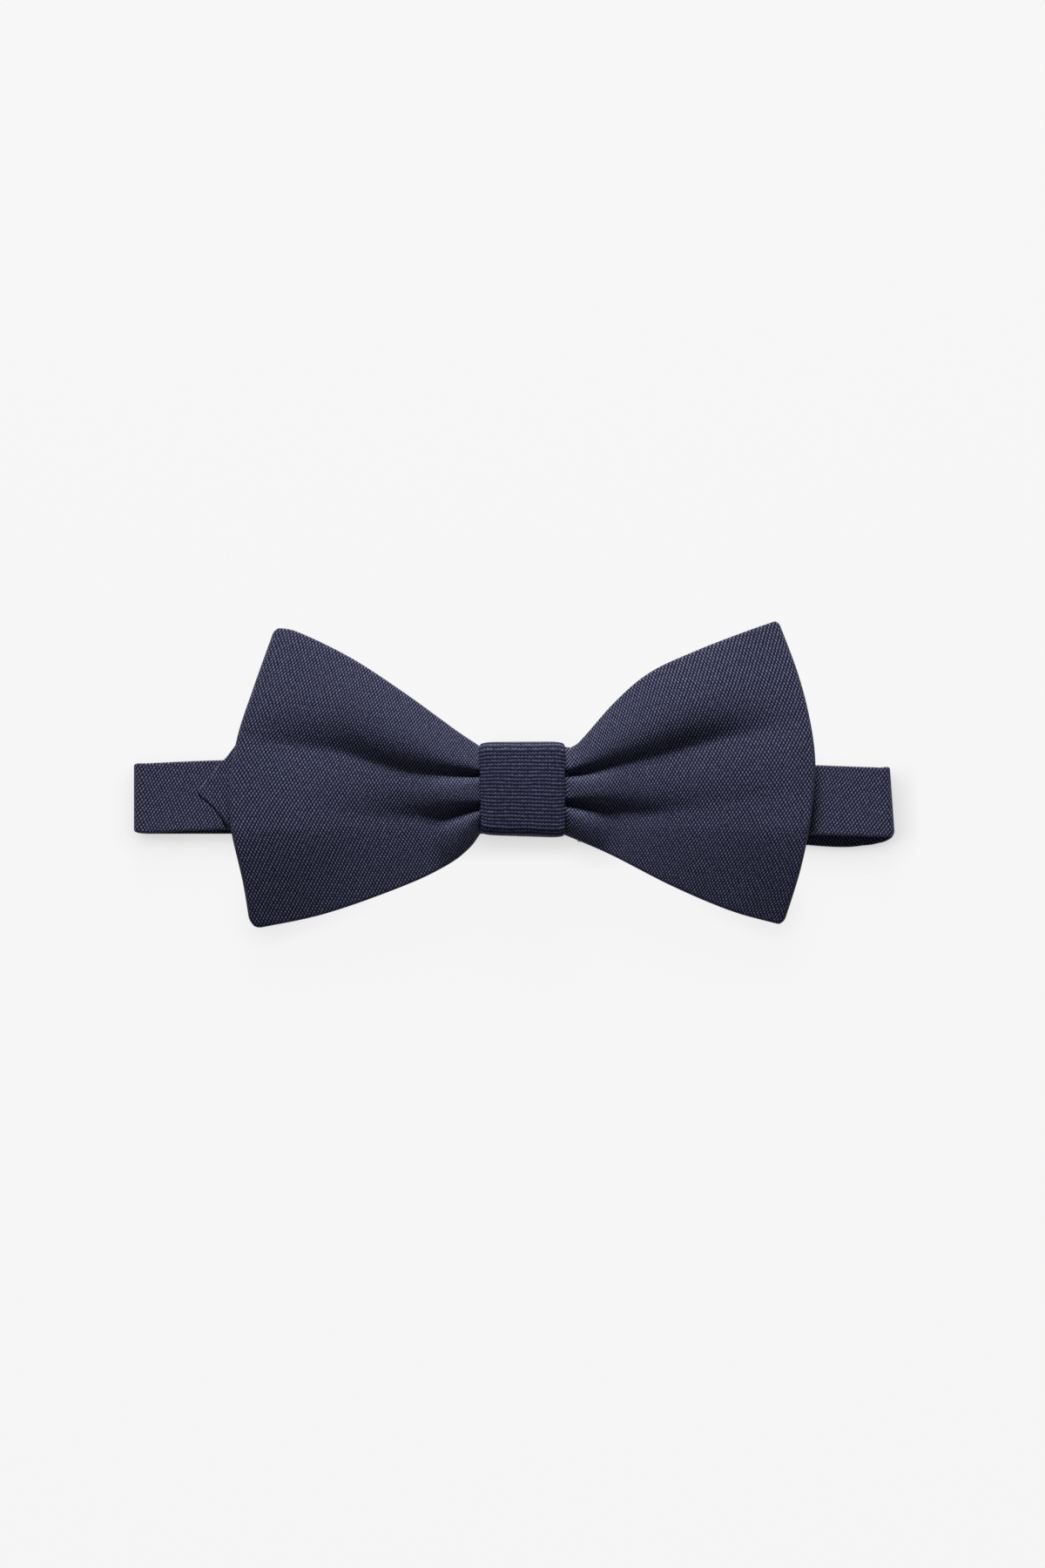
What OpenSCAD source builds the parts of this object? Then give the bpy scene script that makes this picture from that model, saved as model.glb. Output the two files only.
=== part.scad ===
// Pre-tied bow tie, lying on its back.
// +X to the wearer's left (right side of the front view), +Y to the top of the bow, +Z out of the front.
// The origin is under the middle of the whole tie, on the plane that the neck strap rests on.
// Positions along the tie are measured from the middle of the knot, and place() moves them there.

/* [Bow] */
// Half width of the bow, from the knot's middle to the furthest outer edge
bow_half_w = 60.6; // [55:0.2:66]
// Height of the upper corner of the left wing above the middle
left_top = 32.8; // [29:0.2:36]
// Height of the upper corner of the right wing above the middle
right_top = 34.2; // [30:0.2:37]
// Depth of the lower corners below the middle
wing_bottom = 28.4; // [25:0.2:31]
// Thickness of one fabric layer
cloth_t = 0.5; // [0.4:0.05:0.6]
// Thickness of the stiff interlining inside the bow
interlining_t = 0.4; // [0.3:0.05:0.5]
// Depth of the two pleats beside the knot
pleat_depth = 1.3; // [0.4:0.1:1.6]

/* [Knot] */
// Width of the knot along the bow
knot_w = 17.6; // [16:0.2:18]
// Height of the knot, from its lower to its upper edge
knot_h = 19.7; // [19.2:0.1:21]
// Thickness of the knot's folded band
knot_t = 0.7; // [0.5:0.05:0.75]

/* [Neck strap] */
// Width of the neck strap
strap_w = 14.5; // [13.5:0.1:15]
// Thickness of the finished strap
strap_t = 0.75; // [0.65:0.05:0.75]
// Distance from the middle to the left fold's outer edge
left_reach = 80.6; // [79:0.2:84]
// Distance from the middle to the right fold's outer edge
right_reach = 76.7; // [74:0.2:80]
// Thickness of the strap's own fabric wall
strap_wall = 0.25; // [0.2:0.01:0.27]

/* [Hardware] */
// Radius of the bars that the strap turns round
bar_r = 0.6; // [0.5:0.05:0.6]
// Radius of the slider's three bars
slider_bar_r = 0.5; // [0.4:0.05:0.5]
// Place of the hook's strap bar along the strap
hook_x = 12; // [10:0.5:12.5]
// Place of the eye's strap bar along the strap
eye_x = 32; // [31.5:0.5:34]
// Place of the slider's middle bar along the strap
slider_x = -54; // [-55:0.5:-40]

/* [Hidden] */
// Small gap that keeps neighbouring pieces apart
gap = 0.05;
$fn = 32;

// The knot's middle, from the middle of the whole tie
knot_place = [(left_reach - right_reach) / 2, (wing_bottom - right_top) / 2, 0];

// Heights of the strap's two runs and of its folds
front_z = 4.75;
front_top = front_z + strap_t;
fold_z = front_top / 2;
fold_out = fold_z;
fold_in = fold_out - strap_t;
left_fold_x = fold_out - left_reach;
right_fold_x = right_reach - fold_out;

// Heights across the strap of each run's middle line
front_y_left = -2.0;
front_y_mid = -0.1;
front_y_right = -2.85;
back_y_left = -2.2;
back_y_right = -3.8;
back_y_sag = -4.8;

// The deforming stretches end here
left_stretch_x = -56;
bend_x = 44;
sag_x = 62;
flat_start = 0.4;
riser_x = left_fold_x + 4.4;
hook_tail = 4.5;
wrap_tail = 5;

// Strap turns round the bars
turn_in = bar_r + gap;
turn_out = turn_in + strap_t;
turn_z = turn_out;
raised_z = 2 * slider_bar_r + 2 * gap;
wrap_in = slider_bar_r + gap;
wrap_out = wrap_in + strap_t;
wrap_z = raised_z + strap_t + gap + wrap_out;

// Slider frame
slider_pitch = 4;
slider_rail_w = 1.1;
slider_foot = 0.3;
slider_half = strap_w / 2 + 0.45;
wrap_x = slider_x + slider_pitch;

// Hook and eye
frame_half = strap_w / 2 + 0.45;
rail_w = 1.2;
rail_t = 1.2;
eye_depth = 6.4;
hook_depth = 6.4;
nose_t = 1;
tongue_w = 8;
tongue_t = 0.6;
tip_x = eye_x - 4;
tip_t = 0.8;

// Knot ring and what it holds
knot_front = 14.6;
knot_lining_t = 0.25;
knot_back = front_z - 2 * gap - knot_t - knot_lining_t;
knot_y = -0.15;
knot_r = 2.4;
cavity_half = knot_h / 2 - knot_t - knot_lining_t - 2 * gap;
thread_t = 0.25;
thread_r = 0.3;
thread_pitch = 1.6;
thread_w = 0.8;
waist_half = cavity_half - thread_t - 2 * gap - 0.5;

// Layers of the bow, from the strap upwards
back_bow_z = front_top + 0.4;
back_layer = cloth_t + gap;
back_bow_top = back_bow_z + 2 * cloth_t + interlining_t + 2 * gap;
front_bow_z = back_bow_top + 0.2;
waist_top = 12.6;
edge_top = front_bow_z + 2.6;
puff = 1.4;
corner_droop = 0.4;
pleat_place = 0.36;
pleat_w = 0.12;
grid_s = 12;
grid_v = 14;

// Outline of each wing: knot end, outer corners and the bulge of each edge between them
knot_end_x = knot_w / 2 - 0.4;
left_bulge_top = 5.8;
left_bulge_bottom = 8.2;
right_bulge_top = 9.2;
right_bulge_bottom = 3;
left_corner_top = [-51.2, left_top];
left_corner_bottom = [-55.4, -wing_bottom];
right_corner_top = [52.4, right_top];
right_corner_bottom = [54.0, -wing_bottom];

// Blank label on the inner side of the strap's right run
label_x = 54;
label_y = -4.2;
label_w = 16;
label_h = 9;
label_t = 0.25;
tube_start_x = eye_x + 1;
flap_start_x = eye_x + 3.4;
flap_end_x = eye_x + 11;

// Stitches of the bartacks and of the label
stitch_r = 0.08;
stitch_lift = 0.1;
stitch_pitch = 1.7;
stitch_length = 1.3;
bartack_count = 8;
label_count = 5;
label_edge = 0.8;
knot_stitch_count = 7;
knot_stitch_pitch = 2.4;
knot_stitch_length = 1.4;

navy = "midnightblue";
lining = "gainsboro";
thread = "navy";
metal = "silver";

module place() {
    translate(knot_place) children();
}

// A quadratic curve from a to b that bulges by the vector c at its middle control point
function curve(a, b, c, t) =
    a * (1 - t) + b * t + c * 2 * t * (1 - t);

// One wing's surface point. side is -1 for the left wing, s runs outwards and v upwards, both 0 to 1
function wing_xy(side, s, v) =
    let (
        top = side < 0 ? left_corner_top : right_corner_top,
        bottom = side < 0 ? left_corner_bottom : right_corner_bottom,
        k_top = [side * knot_end_x, waist_half + knot_y],
        k_bottom = [side * knot_end_x, knot_y - waist_half],
        b_top = [0, side < 0 ? left_bulge_top : right_bulge_top],
        b_bottom = [0, side < 0 ? -left_bulge_bottom : -right_bulge_bottom],
        upper = curve(k_top, top, b_top, s),
        lower = curve(k_bottom, bottom, b_bottom, s),
        outer_bulge = 2 * bow_half_w - abs(top.x + bottom.x),
        outer = curve(bottom, top, [side * outer_bulge, 0], v),
        flat = bottom * (1 - v) + top * v
    )
    lower * (1 - v) + upper * v + (outer - flat) * pow(s, 1.5);

// Height of the bow's front surface: high and pleated at the knot, puffed, then thin at the outer edge
function front_height(s, v) =
    let (
        across = 2 * v - 1,
        fall = waist_top + (edge_top - waist_top) * (1 - pow(1 - s, 1.6)),
        pillow = puff * sin(180 * s) * (1 - pow(across, 2)),
        pleat = pleat_depth * pow(1 - s, 2) * (exp(-pow((across - pleat_place) / pleat_w, 2))
            + exp(-pow((across + pleat_place) / pleat_w, 2)))
    )
    fall + pillow - pleat - corner_droop * s * pow(across, 2);

// One point of the bow's grid, which runs from the left outer edge, through the knot, to the right one.
// trim pulls the outer edges inwards, drop lowers the front surface and rise lifts the rear one
function bow_point(i, j, trim, drop, rise, front) =
    let (
        side = i < grid_s + 1 ? -1 : 1,
        s = side < 0 ? 1 - i / grid_s : (i - grid_s - 1) / grid_s,
        v = j / grid_v,
        p = wing_xy(side, s * (1 - trim), v),
        z = front ? front_height(s, v) - drop : front_bow_z + rise
    )
    [p.x, p.y, z];

function layer_points(trim, drop, rise) = [
    for (front = [true, false])
        for (i = [0 : 2 * grid_s + 1])
            for (j = [0 : grid_v])
                bow_point(i, j, trim, drop, rise, front)
];

// Faces of a closed slab whose points are an upper grid followed by a lower grid
function slab_faces(n, m) =
    let (row = m + 1, low = (n + 1) * (m + 1))
    concat(
        [for (i = [0 : n - 1]) for (j = [0 : m - 1])
            each quad(i * row + j, (i + 1) * row + j, (i + 1) * row + j + 1, i * row + j + 1, true)],
        [for (i = [0 : n - 1]) for (j = [0 : m - 1])
            each quad(low + i * row + j, low + (i + 1) * row + j,
                low + (i + 1) * row + j + 1, low + i * row + j + 1, false)],
        [for (i = [0 : n - 1]) each quad(i * row, (i + 1) * row, low + (i + 1) * row, low + i * row, false)],
        [for (i = [0 : n - 1])
            each quad(i * row + m, (i + 1) * row + m, low + (i + 1) * row + m, low + i * row + m, true)],
        [for (j = [0 : m - 1]) each quad(j, j + 1, low + j + 1, low + j, true)],
        [for (j = [0 : m - 1])
            each quad(n * row + j, n * row + j + 1, low + n * row + j + 1, low + n * row + j, false)]
    );

// Faces of an open-ended sleeve: an outer slab's skin and an inner one's, joined round both rims
function sleeve_faces(n, m) =
    let (row = m + 1, low = (n + 1) * row, in = 2 * low)
    concat(
        sleeve_skin(n, m, 0, true),
        sleeve_skin(n, m, in, false),
        [for (i = [0 : n - 1]) each concat(
            quad(i * row, (i + 1) * row, in + (i + 1) * row, in + i * row, false),
            quad(i * row + m, (i + 1) * row + m, in + (i + 1) * row + m, in + i * row + m, true),
            quad(low + i * row, low + (i + 1) * row, in + low + (i + 1) * row, in + low + i * row, true),
            quad(low + i * row + m, low + (i + 1) * row + m,
                in + low + (i + 1) * row + m, in + low + i * row + m, false))],
        [for (e = [0, n]) each concat(
            quad(e * row, low + e * row, in + low + e * row, in + e * row, e == 0),
            quad(e * row + m, low + e * row + m, in + low + e * row + m, in + e * row + m, e != 0))]
    );

// The front, rear and outer-fold faces of a sleeve, starting at point index k
function sleeve_skin(n, m, k, out) =
    let (row = m + 1, low = (n + 1) * row)
    concat(
        [for (i = [0 : n - 1]) for (j = [0 : m - 1])
            each quad(k + i * row + j, k + (i + 1) * row + j,
                k + (i + 1) * row + j + 1, k + i * row + j + 1, out)],
        [for (i = [0 : n - 1]) for (j = [0 : m - 1])
            each quad(k + low + i * row + j, k + low + (i + 1) * row + j,
                k + low + (i + 1) * row + j + 1, k + low + i * row + j + 1, !out)],
        [for (j = [0 : m - 1]) each quad(k + j, k + j + 1, k + low + j + 1, k + low + j, out)],
        [for (j = [0 : m - 1])
            each quad(k + n * row + j, k + n * row + j + 1,
                k + low + n * row + j + 1, k + low + n * row + j, !out)]
    );

// Two triangles. Points given anticlockwise from the outside need turned = true
function quad(a, b, c, d, turned) =
    turned ? [[a, c, b], [a, d, c]] : [[a, b, c], [a, c, d]];

// A rectangle with rounded corners, made of squares and circles
module rounded_rect(w, h, r) {
    square([w - 2 * r, h], center = true);
    square([w, h - 2 * r], center = true);
    for (x = [-1, 1], y = [-1, 1])
        translate([x * (w / 2 - r), y * (h / 2 - r)]) circle(r);
}

// A ring round the waist of the bow: a band of thickness t whose inside is w by h, centred at z
module waist_ring(length, half_y, z_low, z_high, t, r) {
    translate([0, knot_y, (z_low + z_high) / 2])
        rotate([90, 0, 90])
            translate([0, 0, -length / 2])
                linear_extrude(length)
                    difference() {
                        rounded_rect(2 * half_y + 2 * t, z_high - z_low + 2 * t, r);
                        rounded_rect(2 * half_y, z_high - z_low, r - t);
                    }
}

// A flat strip along a list of middle points, as wide as w
module strip(points, w, z, t) {
    upper = [for (p = points) p + [0, w / 2]];
    lower = [for (i = [len(points) - 1 : -1 : 0]) points[i] - [0, w / 2]];
    translate([0, 0, z]) linear_extrude(t) polygon(concat(upper, lower));
}

// A strip of strap seen from the side: a path of [x, z] bottom points, thickness t
module side_strip(path, y, w, t) {
    upper = [for (p = path) p + [0, t]];
    lower = [for (i = [len(path) - 1 : -1 : 0]) path[i]];
    translate([0, y + w / 2, 0]) rotate([90, 0, 0]) linear_extrude(w) polygon(concat(upper, lower));
}

// A flat fabric tube, open at both ends, round the room for its interlining
module tube_strip(points, w, z, t) {
    difference() {
        strip(points, w, z, t);
        strip(longer(points), w - 4 * strap_wall, z + strap_wall, t - 2 * strap_wall);
    }
}

function longer(points) = concat(
    [points[0] - [1, 0]], points, [points[len(points) - 1] + [1, 0]]
);

// Half of a round fold about the Y axis. side is -1 where it bulges to -X
module half_fold(side, x, y, z, r_out, r_in) {
    translate([x, y, z]) rotate([90, 0, 0])
        difference() {
            cylinder(h = strap_w, r = r_out, center = true);
            cylinder(h = strap_w + 1, r = r_in, center = true);
            translate([-side * (r_out + 1) / 2, 0, 0])
                cube([r_out + 1, 2 * r_out + 1, strap_w + 1], center = true);
        }
}

// A row of stitches along Y or X
module stitch_row(count, pitch, length, along_y) {
    for (i = [0 : count - 1])
        translate(along_y ? [0, (i - (count - 1) / 2) * pitch, 0] : [(i - (count - 1) / 2) * pitch, 0, 0])
            rotate(along_y ? [90, 0, 0] : [0, 90, 0])
                cylinder(h = length, r = stitch_r, center = true, $fn = 16);
}

module front_bow_shell() {
    color(navy) place()
        polyhedron(
            concat(layer_points(0, 0, 0), layer_points(0.012, cloth_t, cloth_t)),
            sleeve_faces(2 * grid_s + 1, grid_v)
        );
}

module front_bow_interlining() {
    color(lining) place()
        polyhedron(
            [for (low = [0, 1]) for (i = [0 : 2 * grid_s + 1]) for (j = [0 : grid_v])
                bow_point(i, j, 0.03, cloth_t + gap + low * interlining_t, 0, true)],
            slab_faces(2 * grid_s + 1, grid_v)
        );
}

// The back bow's outline: a flat band with a pointed end on the left and a square one on the right
back_left = [
    [-knot_end_x, knot_y - waist_half], [-26, -17.5], [-45, -21.5], [-57.5, -17],
    [-62.5, -10], [-67.3, -1.4], [-64.2, 3.2], [-61, 8], [-54.5, 17.5],
    [-45, 22.5], [-26, 18.5], [-knot_end_x, knot_y + waist_half]
];
back_right = [
    [knot_end_x, knot_y + waist_half], [26, 18.5], [45, 23], [55, 17.5],
    [59, 8], [60.2, 0], [59, -9], [54, -18], [45, -21.5], [26, -16.5],
    [knot_end_x, knot_y - waist_half]
];

module back_bow_layer(shrink, z, t) {
    translate([0, 0, z]) scale([1 - shrink, 1 - shrink, 1])
        linear_extrude(t) polygon(concat(back_left, back_right));
}

module back_bow_face() {
    color(navy) place() back_bow_layer(0, back_bow_top - cloth_t, cloth_t);
}

module back_bow_interlining() {
    color(lining) place() back_bow_layer(0.02, back_bow_z + back_layer, interlining_t);
}

module back_bow_backing() {
    color(navy) place() back_bow_layer(0, back_bow_z, cloth_t);
}

module waist_thread() {
    color(thread) place()
        for (turn = [-1.5 : 1.5])
            translate([turn * thread_pitch, 0, 0])
                waist_ring(thread_w, waist_half + gap, back_bow_z - gap, waist_top + gap, thread_t, thread_r);
}

module knot_band() {
    color(navy) place()
        waist_ring(knot_w, cavity_half + gap + knot_lining_t, knot_back + knot_t,
            knot_front - knot_t, knot_t, knot_r);
}

module knot_interlining() {
    color(lining) place()
        waist_ring(knot_w - 1, cavity_half, knot_back + knot_t + knot_lining_t + gap,
            knot_front - knot_t - knot_lining_t - gap, knot_lining_t, knot_r - knot_t - gap);
}

module knot_stitches() {
    color(thread) place()
        translate([0, knot_y, knot_back - stitch_lift])
            stitch_row(knot_stitch_count, knot_stitch_pitch, knot_stitch_length, false);
}

front_points = [
    [left_stretch_x, front_y_mid + (front_y_left - front_y_mid) * left_stretch_x / left_fold_x],
    [0, front_y_mid], [right_fold_x, front_y_right]
];

module strap_front_run() {
    color(navy) place() tube_strip(front_points, strap_w, front_z, strap_t);
}

module strap_front_interlining() {
    color(lining) place()
        strip(front_points, strap_w - 5 * strap_wall, front_z + strap_wall + gap,
            strap_t - 2 * strap_wall - 2 * gap);
}

module strap_front_left() {
    color(navy) place()
        strip([[left_fold_x, front_y_left], front_points[0]], strap_w, front_z, strap_t);
}

module strap_left_fold() {
    color(navy) place()
        half_fold(-1, left_fold_x, (front_y_left + back_y_left) / 2, fold_z, fold_out, fold_in);
}

module strap_left_run() {
    color(navy) place()
        side_strip([[left_fold_x, 0], [left_fold_x + flat_start, 0], [riser_x, raised_z]],
            back_y_left, strap_w, strap_t);
}

module strap_hook_stretch() {
    color(navy) place()
        side_strip([[riser_x, raised_z], [hook_x - hook_tail, raised_z]], back_y_left, strap_w, strap_t);
}

module strap_hook_turn() {
    color(navy) place() {
        half_fold(1, hook_x, back_y_left, turn_z, turn_out, turn_in);
        side_strip([[hook_x - hook_tail, raised_z], [hook_x - flat_start, 0], [hook_x + gap, 0]],
            back_y_left, strap_w, strap_t);
        side_strip([[hook_x - hook_tail, return_z(hook_x - hook_tail)],
            [hook_x - flat_start, 2 * turn_z - strap_t], [hook_x + gap, 2 * turn_z - strap_t]],
            back_y_left, strap_w, strap_t);
    }
}

// Underside of the return run at x, between the top of the hook's turn and the top of the end wrap
function return_z(x) =
    let (a = 2 * turn_z - strap_t, b = wrap_z + wrap_out - strap_t)
    a + (b - a) * (hook_x - x) / (hook_x - wrap_x);

module strap_return_run() {
    color(navy) place()
        side_strip([[wrap_x + wrap_tail, return_z(wrap_x)],
            [hook_x - hook_tail, return_z(hook_x - hook_tail)]], back_y_left, strap_w, strap_t);
}

module strap_end_wrap() {
    color(navy) place() {
        half_fold(-1, wrap_x, back_y_left, wrap_z, wrap_out, wrap_in);
        side_strip([[wrap_x - gap, return_z(wrap_x)], [wrap_x + wrap_tail, return_z(wrap_x)]],
            back_y_left, strap_w, strap_t);
        side_strip([[wrap_x - gap, wrap_z - wrap_out], [wrap_x + flat_start, wrap_z - wrap_out],
            [wrap_x + wrap_tail, return_z(wrap_x) - strap_t - gap]], back_y_left, strap_w, strap_t);
    }
}

module end_bartack() {
    color(thread) place()
        translate([wrap_x + wrap_tail - 1, back_y_left, return_z(wrap_x) + strap_t + stitch_lift])
            stitch_row(bartack_count, stitch_pitch, stitch_length, true);
}

// A rail from x0 to x1 at both sides of the strap
module rails(x0, x1, half, w, z_low, z_high) {
    for (side = [-1, 1])
        translate([(x0 + x1) / 2, back_y_left + side * (half + w / 2), (z_low + z_high) / 2])
            cube([x1 - x0, w, z_high - z_low], center = true);
}

// A round bar across the strap
module cross_bar(x, z, r, half) {
    translate([x, back_y_left, z]) rotate([90, 0, 0]) cylinder(h = 2 * half, r = r, center = true);
}

module slider_frame() {
    color(metal) place() {
        for (x = [slider_x - slider_pitch, slider_x + slider_pitch])
            cross_bar(x, wrap_z, slider_bar_r, slider_half + slider_rail_w / 2);
        cross_bar(slider_x, slider_bar_r, slider_bar_r, slider_half + slider_rail_w / 2);
        rails(slider_x - slider_pitch - slider_bar_r, slider_x + slider_pitch + slider_bar_r,
            slider_half, slider_rail_w, wrap_z - slider_bar_r, wrap_z + slider_bar_r);
        rails(slider_x - slider_bar_r - slider_foot, slider_x + slider_bar_r + slider_foot,
            slider_half, slider_rail_w, 0, wrap_z);
    }
}

module hook() {
    nose_x = hook_x + hook_depth;
    color(metal) place() {
        cross_bar(hook_x, turn_z, bar_r, frame_half + rail_w / 2);
        rails(hook_x - bar_r, nose_x + nose_t, frame_half, rail_w, turn_z - rail_t / 2, turn_z + rail_t / 2);
        translate([nose_x + nose_t / 2, back_y_left, (turn_z + rail_t / 2) / 2])
            cube([nose_t, 2 * frame_half + rail_w, turn_z + rail_t / 2], center = true);
        translate([nose_x, back_y_left - tongue_w / 2, 0])
            cube([tip_x - nose_x, tongue_w, tongue_t]);
        translate([tip_x - tip_t, back_y_left - tongue_w / 2, 0])
            cube([tip_t, tongue_w, turn_z + rail_t / 2]);
    }
}

module strap_right_fold() {
    color(navy) place()
        half_fold(1, right_fold_x, (front_y_right + back_y_right) / 2, fold_z, fold_out, fold_in);
}

right_points = [
    [tube_start_x, back_y_left], [bend_x, back_y_left - 1], [sag_x, back_y_sag], [right_fold_x, back_y_right]
];

module strap_right_run() {
    color(navy) place() {
        tube_strip(right_points, strap_w, 0, strap_t);
        half_fold(-1, eye_x, back_y_left, turn_z, turn_out, turn_in);
        side_strip([[eye_x - gap, 0], [tube_start_x + gap, 0]], back_y_left, strap_w, strap_t);
        side_strip([[eye_x - gap, 2 * turn_z - strap_t], [eye_x + flat_start, 2 * turn_z - strap_t],
            [flap_start_x, strap_t + gap], [flap_end_x, strap_t + gap]], back_y_left, strap_w, strap_t);
    }
}

module strap_right_interlining() {
    color(lining) place()
        strip([right_points[0] + [2 * gap, 0], each [for (i = [1 : 3]) right_points[i]]],
            strap_w - 5 * strap_wall, strap_wall + gap, strap_t - 2 * strap_wall - 2 * gap);
}

module eye_bartack() {
    color(thread) place()
        translate([flap_end_x - 2, back_y_left, 2 * strap_t + gap + stitch_lift])
            stitch_row(bartack_count, stitch_pitch, stitch_length, true);
}

module eye() {
    color(metal) place() {
        cross_bar(eye_x, turn_z, bar_r, frame_half + rail_w / 2);
        cross_bar(eye_x - eye_depth, turn_z, bar_r, frame_half + rail_w / 2);
        rails(eye_x - eye_depth - bar_r, eye_x + bar_r, frame_half, rail_w,
            turn_z - rail_t / 2, turn_z + rail_t / 2);
    }
}

module care_label() {
    color("black") place()
        translate([label_x, label_y, strap_t + gap + label_t / 2])
            cube([label_w, label_h, label_t], center = true);
}

module label_stitches() {
    color(thread) place()
        for (side = [-1, 1])
            translate([label_x + side * (label_w / 2 - label_edge), label_y,
                strap_t + gap + label_t + stitch_lift])
                stitch_row(label_count, stitch_pitch, stitch_length, true);
}

front_bow_shell();
front_bow_interlining();
back_bow_face();
back_bow_interlining();
back_bow_backing();
waist_thread();
knot_band();
knot_interlining();
knot_stitches();
strap_front_run();
strap_front_interlining();
strap_front_left();
strap_left_fold();
strap_left_run();
strap_hook_stretch();
strap_hook_turn();
strap_return_run();
strap_end_wrap();
end_bartack();
slider_frame();
hook();
strap_right_fold();
strap_right_run();
strap_right_interlining();
eye_bartack();
eye();
care_label();
label_stitches();
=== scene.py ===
import math

import bpy
import numpy as np
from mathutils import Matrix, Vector


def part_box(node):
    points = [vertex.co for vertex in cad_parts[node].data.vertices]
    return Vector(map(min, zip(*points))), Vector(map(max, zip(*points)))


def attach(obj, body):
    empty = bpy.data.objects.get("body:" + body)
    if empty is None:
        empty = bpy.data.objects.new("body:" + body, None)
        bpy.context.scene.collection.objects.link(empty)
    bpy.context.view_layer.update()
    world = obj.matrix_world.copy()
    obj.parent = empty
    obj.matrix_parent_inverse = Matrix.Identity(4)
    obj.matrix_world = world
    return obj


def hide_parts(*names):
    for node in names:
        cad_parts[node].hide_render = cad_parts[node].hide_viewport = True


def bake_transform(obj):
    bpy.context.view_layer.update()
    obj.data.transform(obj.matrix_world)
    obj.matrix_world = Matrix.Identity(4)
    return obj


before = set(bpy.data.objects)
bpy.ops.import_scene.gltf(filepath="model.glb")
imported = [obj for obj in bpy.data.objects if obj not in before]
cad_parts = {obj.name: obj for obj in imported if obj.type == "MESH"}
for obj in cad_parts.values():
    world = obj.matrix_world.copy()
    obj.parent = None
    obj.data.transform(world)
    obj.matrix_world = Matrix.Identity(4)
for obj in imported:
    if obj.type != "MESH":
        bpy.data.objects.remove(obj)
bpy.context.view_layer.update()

# A ready-tied bow tie lying on its back. Lengths in this script are millimetres from the middle of the knot
# (+X right, +Y top of the bow, +Z up from the table). The mesh builder turns them into the row frame's
# metres. Lights, floor and the shaders' bump distances are in metres.
MM = 0.001

# ---------------------------------------------------------------- sizes taken from the frame
# The knot leans a little, so its middle lies this far above the middle of its box
KNOT_LIFT = 0.15
knot_corners = np.array(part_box("knot_band")) / MM
MIDDLE = np.array([*(knot_corners[0, :2] + knot_corners[1, :2]) / 2, 0]) + (0, KNOT_LIFT, 0)


def node_box(name):
    """A CAD node's lowest and highest corner, in millimetres from the knot's middle."""
    return np.array(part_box(name)) / MM - MIDDLE


def row_frame(point):
    """A point in the row frame's metres."""
    return tuple((np.array(point, float) + MIDDLE) * MM)


knot_low, knot_high = node_box("knot_band")
strap_low, strap_high = node_box("strap_front_run")
left_fold_low, left_fold_high = node_box("strap_left_fold")
right_fold_low = node_box("strap_right_fold")[0]
riser_low, riser_high = node_box("strap_left_run")
turn_low = node_box("strap_hook_turn")[0]
wrap_low, wrap_high = node_box("strap_end_wrap")
hook_low = node_box("hook")[0]
eye_high = node_box("eye")[1]
return_low, return_high = node_box("strap_return_run")

KNOT_HALF = knot_high[0]
STRAP_W = left_fold_high[1] - left_fold_low[1]
STRAP_T = strap_high[2] - strap_low[2]
FRONT_Z = (strap_low[2] + strap_high[2]) / 2
BACK_Z = STRAP_T / 2
FOLD_Z = (FRONT_Z + BACK_Z) / 2
FOLD_R = FRONT_Z - FOLD_Z
LEFT_X = left_fold_high[0]
RIGHT_X = right_fold_low[0]

# ---------------------------------------------------------------- the weave
# Spacing of the raised dots along and across the cloth, and of the ribs on the knot
DOT_PITCH = 0.70
ROW_PITCH = 0.57
RIB_PITCH = 0.76


# ---------------------------------------------------------------- curves
def smooth_path(points, count):
    """A Catmull-Rom curve through points, resampled to count points at even spacing."""
    p = np.array(points, float)
    ends = np.vstack([2 * p[0] - p[1], p, 2 * p[-1] - p[-2]])
    t = np.linspace(0, 1, 24, endpoint=False)[:, None]
    pieces = []
    for a, b, c, d in zip(ends, ends[1:], ends[2:], ends[3:]):
        pieces.append(
            0.5 * (2 * b + (c - a) * t + (2 * a - 5 * b + 4 * c - d) * t**2 + (3 * b - a - 3 * c + d) * t**3)
        )
    fine = np.vstack(pieces + [p[-1:]])
    along = np.concatenate([[0], np.cumsum(np.linalg.norm(np.diff(fine, axis=0), axis=1))])
    even = np.linspace(0, along[-1], count)
    return np.stack([np.interp(even, along, fine[:, k]) for k in range(fine.shape[1])], axis=1)


def smooth_step(t):
    t = np.clip(t, 0, 1)
    return t * t * (3 - 2 * t)


def across(width, radius, inner):
    """Distances from one edge of a strip of this width to the other, closer together at its rounded edges."""
    turn = radius * (1 - np.cos(np.linspace(0, math.pi / 2, 6)))
    middle = np.linspace(radius, width - radius, inner + 2)[1:-1]
    return np.concatenate([turn, middle, width - turn[::-1]])


def edge_rise(distance, width, radius):
    """Half thickness of a strip at this distance from its edge: a round edge, then flat."""
    near = np.clip(np.minimum(distance, width - distance) / radius, 0, 1)
    return radius * np.sqrt(1 - (1 - near) ** 2)


# ---------------------------------------------------------------- meshes
def make_mesh(name, points, faces, weave, material):
    mesh = bpy.data.meshes.new(name)
    mesh.from_pydata(((np.asarray(points) + MIDDLE) * MM).tolist(), [], faces)
    mesh.update()
    if weave is not None:
        attribute = mesh.attributes.new("weave", "FLOAT_VECTOR", "POINT")
        attribute.data.foreach_set("vector", np.asarray(weave, np.float32).ravel())
    mesh.shade_smooth()
    mesh.materials.append(material)
    obj = bpy.data.objects.new(name, mesh)
    bpy.context.collection.objects.link(obj)
    return obj


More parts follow.
